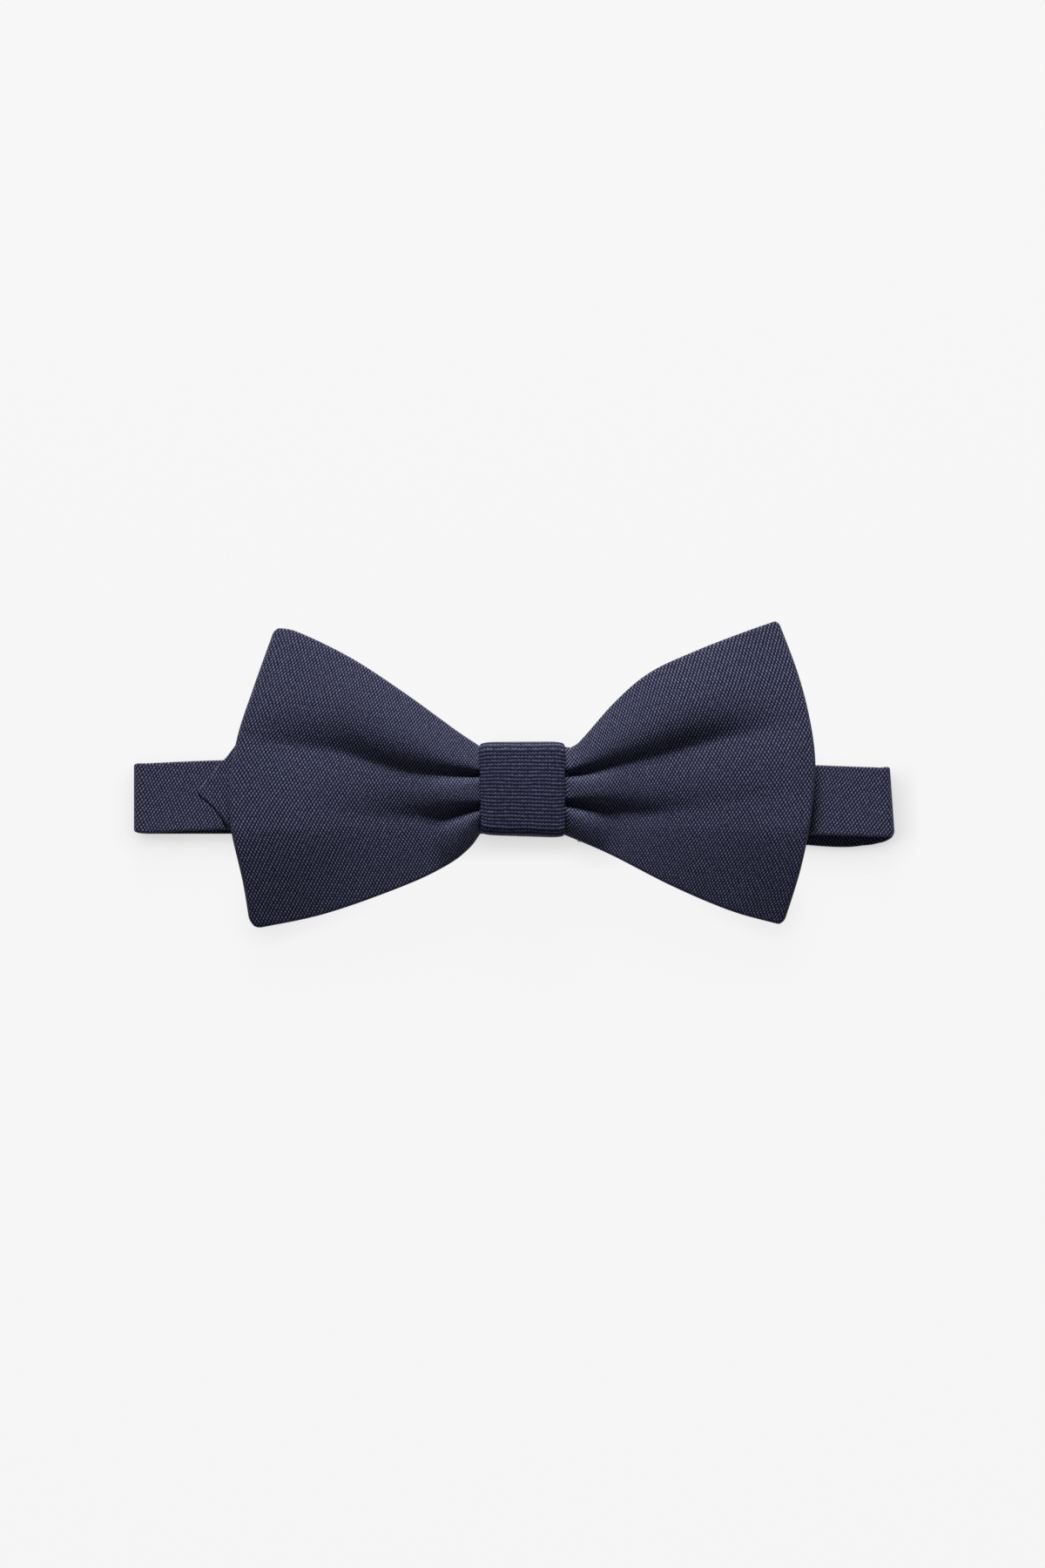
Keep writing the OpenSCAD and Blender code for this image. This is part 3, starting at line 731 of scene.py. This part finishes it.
def thread_tube(name, path, radius, material, sides=8):
    """A round thread along a path of points."""
    path = np.array(path, float)
    ahead = np.roll(path, -1, axis=0) - np.roll(path, 1, axis=0)
    ahead[0], ahead[-1] = path[1] - path[0], path[-1] - path[-2]
    ahead /= np.linalg.norm(ahead, axis=1)[:, None]
    side = np.cross(ahead, OFF_THREAD)
    side /= np.linalg.norm(side, axis=1)[:, None]
    up = np.cross(side, ahead)
    angle = np.linspace(0, 2 * math.pi, sides, endpoint=False)[None, :, None]
    ring = path[:, None] + radius * (np.cos(angle) * side[:, None] + np.sin(angle) * up[:, None])
    faces = []
    for a in range(0, (len(path) - 1) * sides, sides):
        b = a + sides
        faces += [(a + j, a + (j + 1) % sides, b + (j + 1) % sides, b + j) for j in range(sides)]
    faces += [tuple(range(sides - 1, -1, -1)), tuple(range((len(path) - 1) * sides, len(path) * sides))]
    return make_mesh(name, ring.reshape(-1, 3), faces, None, material)


# The thread's radius, how far its turns spread, and the half height, half depth and middle of the waist
THREAD_R = 0.16
THREAD_SPREAD = 4
WAIST_HALF_Y, WAIST_HALF_Z, WAIST_Y, WAIST_Z = 8.35, 3.7, -0.2, 9.25


def waist_thread_wraps(material):
    """Five turns of thread round the gathered waist, hidden in the knot."""
    turns, per_turn = 5, 48
    points = []
    for k in range(turns * per_turn + 1):
        a = 2 * math.pi * k / per_turn
        squarer = (abs(math.cos(a)) ** 6 + abs(math.sin(a)) ** 6) ** (-1 / 6)
        points.append((
            THREAD_SPREAD * (k / (turns * per_turn) - 0.5),
            WAIST_HALF_Y * math.cos(a) * squarer + WAIST_Y,
            WAIST_HALF_Z * math.sin(a) * squarer + WAIST_Z,
        ))
    return thread_tube("waist_thread_wraps", points, THREAD_R, material)


# ---------------------------------------------------------------- the strap
STRAP_R = STRAP_T / 2
# The weave's rows lean by this much from the strap's length
CLOTH_TURN = math.radians(9)
BACK_Y = (riser_low[1] + riser_high[1]) / 2
RAISED = riser_high[2] - STRAP_R
# Half the width of the hook's and the eye's bars, and the inner radius of the strap's turn round them and
# round the slider's bar
HALF_BAR = 0.6
BAR_ROOM = 0.65
SLIDER_ROOM = 0.55
TURN_X = hook_low[0] + HALF_BAR
TURN_R = BAR_ROOM + STRAP_R
TURN_Z = TURN_R + STRAP_R
EYE_X = eye_high[0] - HALF_BAR
WRAP_X = wrap_low[0] + SLIDER_ROOM + STRAP_T
WRAP_R = SLIDER_ROOM + STRAP_R
WRAP_Z = wrap_high[2] - STRAP_R - WRAP_R
# The strap rises to the slider by this power of the distance from the hook
RISE_LATE = 2.5
# How far along the cloth the pieces behind the bow begin
CLOTH_AT_SLIDER, CLOTH_AT_TURN, CLOTH_AT_RETURN, CLOTH_AT_END = 4.0, 77.0, 93.0, 138.0


def ribbon(name, path, facing, slant=0.0, width=None, start=0.0, flow=1):
    """A strap length along path, its middle line. facing points to its outer side at each point, slant leans
    its rows along X, start is how far along the cloth it begins and flow is -1 where the cloth runs back."""
    path, facing = np.array(path, float), np.array(facing, float)
    count = len(path)
    slant = np.broadcast_to(slant, count)
    width = np.broadcast_to(STRAP_W if width is None else width, count)
    along = start + flow * np.concatenate([[0], np.cumsum(np.linalg.norm(np.diff(path, axis=0), axis=1))])
    c, s = math.cos(CLOTH_TURN), math.sin(CLOTH_TURN)
    rows = []
    for p, n, lean, w, u in zip(path, facing, slant, width, along):
        distance = across(w, STRAP_R, 26)
        y = distance - w / 2
        points = np.column_stack([p[0] + lean * y, p[1] + y, np.full_like(y, p[2])])
        uv = np.column_stack([c * u - s * y, s * u + c * y])
        rows.append((points, np.tile(n, (len(y), 1)), edge_rise(distance, w, STRAP_R), uv))
    centre, face, rise, uv = (np.stack(part) for part in zip(*rows))
    return strip_mesh(name, centre, face, rise, uv, strap_cloth)


def facings(path, sign):
    """Unit vectors square to a path in the XZ plane, on the side that sign gives."""
    path = np.array(path)
    ahead = np.gradient(path, axis=0)
    ahead[:, 1] = 0
    ahead /= np.linalg.norm(ahead, axis=1)[:, None]
    return np.column_stack([-ahead[:, 2] * sign, np.zeros(len(path)), ahead[:, 0] * sign])


# The strap's middle lines in front and, to the right, behind, as (x, y)
FRONT_LINE = [(LEFT_X, -2.0), (-62, -1.35), (-30, -0.7), (0, -0.1), (30, -1.1), (60, -2.35), (RIGHT_X, -2.85)]
BACK_LINE = [(RIGHT_X, -4.05), (71.0, -4.6), (64, -4.9), (44, -3.2), (EYE_X, BACK_Y)]
FRONT_W = STRAP_W - 0.1
# The right end's edge leans by this share, from a little before the fold
END_SLANT = -0.071
FRONT_SLANT_X, BACK_SLANT_X = 62, 66
# The front run is cut in two behind the knot
KNOT_CUT = 8.0


def front_y(x):
    line = smooth_path(FRONT_LINE, 200)
    return np.interp(x, line[:, 0], line[:, 1])


def strap_piece(obj, body, nodes):
    """Hides the CAD nodes that a strap length stands for, and attaches it to the body it rides on if it is
    rigid.
    """
    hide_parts(*nodes)
    if body:
        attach(obj, body)


# Rows round a fold, an even number so that none lies on the hinge. How square the fold is pressed, and how
# close to the hinge the cloth changes sides
FOLD_ROWS = 18
PRESSED = 3.6


def fold_rows(side, x, y_front, y_apex, y_back, pinch):
    """The strap's half turn at one end of the loop, pressed square and pinched a little at its apex: its
    path, facing and width. Its rows lie in pairs about the hinge, so that the halves close when unfolded."""
    angle = np.linspace(math.pi / 2, -math.pi / 2, FOLD_ROWS)
    share = (math.pi / 2 - angle) / math.pi
    squarer = (np.abs(np.cos(angle)) ** PRESSED + np.abs(np.sin(angle)) ** PRESSED) ** (-1 / PRESSED)
    reach, rise = FOLD_R * squarer * np.cos(angle), FOLD_R * squarer * np.sin(angle)
    y = y_front * (1 - share) + y_back * share + (y_apex - (y_front + y_back) / 2) * np.cos(angle) ** 2
    path = np.column_stack([x + side * reach, y, FOLD_Z + rise])
    facing = np.column_stack([-side * np.gradient(rise), np.zeros(FOLD_ROWS), np.gradient(reach)])
    facing /= np.linalg.norm(facing, axis=1)[:, None]
    width = FRONT_W + (STRAP_W - FRONT_W) * share - pinch * np.cos(angle) ** 6
    return path, facing, width


def crease(x, height):
    """A point at a fold, this far above or below the hinge. The cloth changes sides between two of them."""
    return row_frame((x, 0, FOLD_Z + height))


def front_right_strap():
    """The strap's front run from the knot to the right end and round the fold there, in one length."""
    x = np.linspace(-KNOT_CUT, RIGHT_X, 70)
    run = np.column_stack([x, front_y(x), np.full_like(x, FRONT_Z)])
    y_front, y_back = FRONT_LINE[-1][1], BACK_LINE[0][1]
    turn, turn_facing, turn_width = fold_rows(1, RIGHT_X, y_front, -2.5, y_back, 1.2)
    path = np.vstack([run, turn[1:]])
    facing = np.vstack([np.tile([0.0, 0.0, 1.0], (len(x), 1)), turn_facing[1:]])
    width = np.concatenate([np.full_like(x, FRONT_W), turn_width[1:]])
    slant = END_SLANT * smooth_step((path[:, 0] - FRONT_SLANT_X) / (RIGHT_X - FRONT_SLANT_X))
    obj = ribbon("strap_front", path, facing, slant, width, start=-KNOT_CUT)
    strap_piece(obj, None, ["strap_front_run", "strap_right_fold"])
    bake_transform(obj)


def front_left_strap():
    """The strap's front run from the left end to the knot."""
    x = np.linspace(LEFT_X, -KNOT_CUT, 70)
    path = np.column_stack([x, front_y(x), np.full_like(x, FRONT_Z)])
    facing = np.tile([0.0, 0.0, 1.0], (len(x), 1))
    obj = ribbon("strap_front_left_end", path, facing, 0.0, FRONT_W, start=LEFT_X)
    strap_piece(obj, None, ["strap_front_left"])
    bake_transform(obj)


def left_fold_strap():
    y_front = FRONT_LINE[0][1]
    path, facing, width = fold_rows(-1, LEFT_X, y_front, y_front, BACK_Y, 0.8)
    obj = ribbon("strap_fold_left", path, facing, 0.0, width, start=LEFT_X, flow=-1)
    strap_piece(obj, None, ["strap_left_fold"])
    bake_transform(obj)


def back_left_strap():
    """From the left fold up on to the slider's middle bar, rigid with the left run."""
    rise = [(LEFT_X, BACK_Z), (LEFT_X + 0.8, BACK_Z + 0.02), (LEFT_X + 2.2, BACK_Z + 0.45),
            (LEFT_X + 3.6, RAISED), (riser_high[0], RAISED)]
    path = smooth_path([(x, BACK_Y, z) for x, z in rise], 14)
    obj = ribbon("strap_left_riser", path, -facings(path, 1))
    strap_piece(obj, "strap_left", ["strap_left_run"])


def hook_stretch():
    """From the slider out to the hook."""
    x = np.linspace(riser_high[0], turn_low[0], 60)
    path = np.column_stack([x, np.full_like(x, BACK_Y), np.full_like(x, RAISED)])
    obj = ribbon("strap_out_run", path, -facings(path, 1), start=CLOTH_AT_SLIDER)
    strap_piece(obj, None, ["strap_hook_stretch"])
    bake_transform(obj)


def hook_turn():
    """Down to the hook's bar, round it and back up towards the slider."""
    angle = np.linspace(-math.pi / 2, math.pi / 2, 13)
    arc = [(TURN_X + TURN_R * math.cos(a), BACK_Y, TURN_Z + TURN_R * math.sin(a)) for a in angle]
    low = [(turn_low[0], BACK_Y, RAISED), (turn_low[0] + 1.5, BACK_Y, RAISED - 0.35),
           (TURN_X - 1.6, BACK_Y, STRAP_R + 0.08)]
    high = [(TURN_X - 1.6, BACK_Y, TURN_Z + TURN_R + 0.02), (turn_low[0], BACK_Y, return_low[2] + STRAP_R)]
    path = smooth_path(low + arc + high, 60)
    obj = ribbon("strap_hook_loop", path, -facings(path, 1), start=CLOTH_AT_TURN)
    strap_piece(obj, "hook_turn", ["strap_hook_turn"])


def return_run():
    """Back from the hook to the slider, low under the knot so as to clear it at every neck size."""
    x = np.linspace(turn_low[0], return_low[0], 50)
    share = (x - x[0]) / (x[-1] - x[0])
    z = return_low[2] + STRAP_R + (return_high[2] - STRAP_T - return_low[2]) * share**RISE_LATE
    path = np.column_stack([x, np.full_like(x, BACK_Y), z])
    obj = ribbon("strap_return", path, -facings(path, 1), start=CLOTH_AT_RETURN)
    strap_piece(obj, None, ["strap_return_run"])
    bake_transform(obj)


def end_wrap():
    """The strap's end, sewn round the slider's outer bar."""
    angle = np.linspace(math.pi / 2, 3 * math.pi / 2, 13)
    arc = [(WRAP_X + WRAP_R * math.cos(a), BACK_Y, WRAP_Z + WRAP_R * math.sin(a)) for a in angle]
    tail_x = wrap_high[0]
    high = [(tail_x, BACK_Y, return_high[2] - STRAP_R), (WRAP_X + 1.5, BACK_Y, WRAP_Z + WRAP_R)]
    low = [(WRAP_X + 1.5, BACK_Y, WRAP_Z - WRAP_R + 0.2), (WRAP_X + 3.2, BACK_Y, WRAP_Z + 0.05),
           (tail_x - 0.4, BACK_Y, return_high[2] - STRAP_R - STRAP_T - 0.05)]
    path = smooth_path(high + arc + low, 60)
    obj = ribbon("strap_end_loop", path, facings(path, -1), start=CLOTH_AT_END)
    strap_piece(obj, "slider", ["strap_end_wrap"])


def back_right_strap():
    """From the right fold to the eye, round its bar and sewn back on itself."""
    line = smooth_path(BACK_LINE, 60)
    run = [(x, y, STRAP_R) for x, y in line[:-1]]
    angle = np.linspace(-math.pi / 2, -3 * math.pi / 2, 13)
    arc = [(EYE_X + TURN_R * math.cos(a), BACK_Y, TURN_Z + TURN_R * math.sin(a)) for a in angle]
    flap_z = 1.5 * STRAP_T + 0.06
    flap = [(EYE_X + 1.4, BACK_Y, TURN_Z + TURN_R - 0.1), (EYE_X + 3.4, BACK_Y - 0.05, 1.55 * STRAP_T + 0.1),
            (EYE_X + 5, BACK_Y - 0.3, flap_z), (EYE_X + 11, BACK_Y - 0.9, flap_z)]
    path = smooth_path(run + arc + flap, 150)
    slant = END_SLANT * smooth_step((path[:, 0] - BACK_SLANT_X) / (RIGHT_X - BACK_SLANT_X))
    obj = ribbon("strap_back_right", path, facings(path, 1), slant, start=RIGHT_X + math.pi * FOLD_R)
    strap_piece(obj, "strap_right", ["strap_right_run"])


# ---------------------------------------------------------------- build it
def bow_piece(obj, slot, *nodes):
    """Hides the CAD nodes that a piece of the bow stands for, and attaches it to the bow."""
    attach(obj, "bow")
    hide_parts(*nodes)
    return obj


bow = bow_piece(front_bow(bow_cloth), "bow_cloth", "front_bow_shell")
bow_piece(front_interlining(interlining), "interlining", "front_bow_interlining")

rear = bow_piece(
    back_bow("back_bow", bow_cloth, BACK_R, 0.0, BACK_R), "bow_cloth", "back_bow_face", "back_bow_backing"
)
rear_felt = back_bow("back_bow_felt", interlining, BACK_FELT_R, BACK_FELT_IN, BACK_FELT_HALF)
bow_piece(rear_felt, "interlining", "back_bow_interlining")

band = bow_piece(knot("knot", knot_cloth, KNOT_R, 0.0, KNOT_R), "knot_cloth", "knot_band")
band_felt = knot("knot_felt", interlining, KNOT_FELT_R, KNOT_FELT_IN, KNOT_FELT_HALF, KNOT_FELT_NARROWER)
bow_piece(band_felt, "interlining", "knot_interlining")
bow_piece(waist_thread_wraps(thread), "thread", "waist_thread")

front_right_strap()
front_left_strap()
left_fold_strap()
back_left_strap()
hook_stretch()
hook_turn()
return_run()
end_wrap()
back_right_strap()

METAL_BEVEL = 0.12
CAD_LOOKS = {
    "strap_front_interlining": interlining, "strap_right_interlining": interlining,
    "knot_stitches": thread, "end_bartack": thread, "eye_bartack": thread, "label_stitches": thread,
    "slider_frame": metal, "hook": metal, "eye": metal, "care_label": label,
}


def dress_cad():
    """Better materials for the CAD nodes that stay, and rounded edges on the stamped metal."""
    for node, material in CAD_LOOKS.items():
        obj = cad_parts[node]
        obj.data.materials.clear()
        obj.data.materials.append(material)
        if material is metal:
            bevel = obj.modifiers.new("round", "BEVEL")
            bevel.width, bevel.segments, bevel.limit_method = METAL_BEVEL * MM, 2, "ANGLE"


dress_cad()

# ---------------------------------------------------------------- camera, floor and light
# The upright side of the picture, in millimetres at the height of the bow
VIEW_SPAN = 324.0
BOW_Z = 8
VIEW_Y = 0.9
LENS = 150.0
SENSOR = 36
CAMERA_Z = BOW_Z + VIEW_SPAN * LENS / SENSOR
# The floor lies just under the strap. It glows, and darkens where the tie stands between it and the key light
FLOOR_HALF = 1.5
FLOOR_Z = -0.0002
CONTACT_REACH = 0.0062
CONTACT_SHARE = 0.45
FLOOR_GLOW = 0.455
TOWARDS_KEY = {"X": -0.35, "Y": 0.75, "Z": 0.55}


def add_camera():
    data = bpy.data.cameras.new("camera")
    data.lens = LENS
    data.sensor_width = SENSOR
    data.clip_start, data.clip_end = 0.05, 20
    camera = bpy.data.objects.new("camera", data)
    camera.location = row_frame((0, VIEW_Y, CAMERA_Z))
    bpy.context.collection.objects.link(camera)
    bpy.context.scene.camera = camera


def area_light(name, place, target, size, power):
    data = bpy.data.lights.new(name, "AREA")
    data.shape = "DISK"
    data.size, data.energy = size, power
    light = bpy.data.objects.new(name, data)
    light.location = place
    light.rotation_mode = "QUATERNION"
    light.rotation_quaternion = (Vector(target) - Vector(place)).to_track_quat("-Z", "Y")
    bpy.context.collection.objects.link(light)


def add_floor():
    m = Shader("floor")
    towards_key = m.node("ShaderNodeCombineXYZ")
    for axis, share in TOWARDS_KEY.items():
        towards_key.inputs[axis].default_value = share
    contact = m.node("ShaderNodeAmbientOcclusion", samples=8)
    contact.inputs["Distance"].default_value = CONTACT_REACH
    m.join(towards_key.outputs["Vector"], contact.inputs["Normal"])
    glow = m.math("MULTIPLY_ADD", contact.outputs["AO"], CONTACT_SHARE, FLOOR_GLOW)
    m.join(glow, m.surface.inputs["Emission Strength"])
    m.set(Roughness=0.9, Specular_IOR_Level=0.0)
    m.surface.inputs["Base Color"].default_value = (0.02, 0.02, 0.02, 1)
    m.surface.inputs["Emission Color"].default_value = (1, 1, 1, 1)
    corners = [(x * FLOOR_HALF, y * FLOOR_HALF, FLOOR_Z) for x, y in ((-1, -1), (1, -1), (1, 1), (-1, 1))]
    mesh = bpy.data.meshes.new("floor")
    mesh.from_pydata(corners, [], [(0, 1, 2, 3)])
    mesh.materials.append(m.material)
    floor = bpy.data.objects.new("floor", mesh)
    bpy.context.collection.objects.link(floor)


def add_light():
    world = bpy.data.worlds.new("studio")
    world.use_nodes = True
    sky = world.node_tree.nodes["Background"]
    sky.inputs["Color"].default_value = (0.95, 0.97, 1, 1)
    sky.inputs["Strength"].default_value = 0.09
    bpy.context.scene.world = world
    area_light("key", (-0.05, 1.0, 0.52), (0, 0, 0), 0.4, 22)
    area_light("fill", (0.2, -0.2, 1.2), (0, 0, 0), 0.8, 0.7)


add_camera()
add_floor()
add_light()
bpy.context.scene.view_settings.view_transform = "Standard"
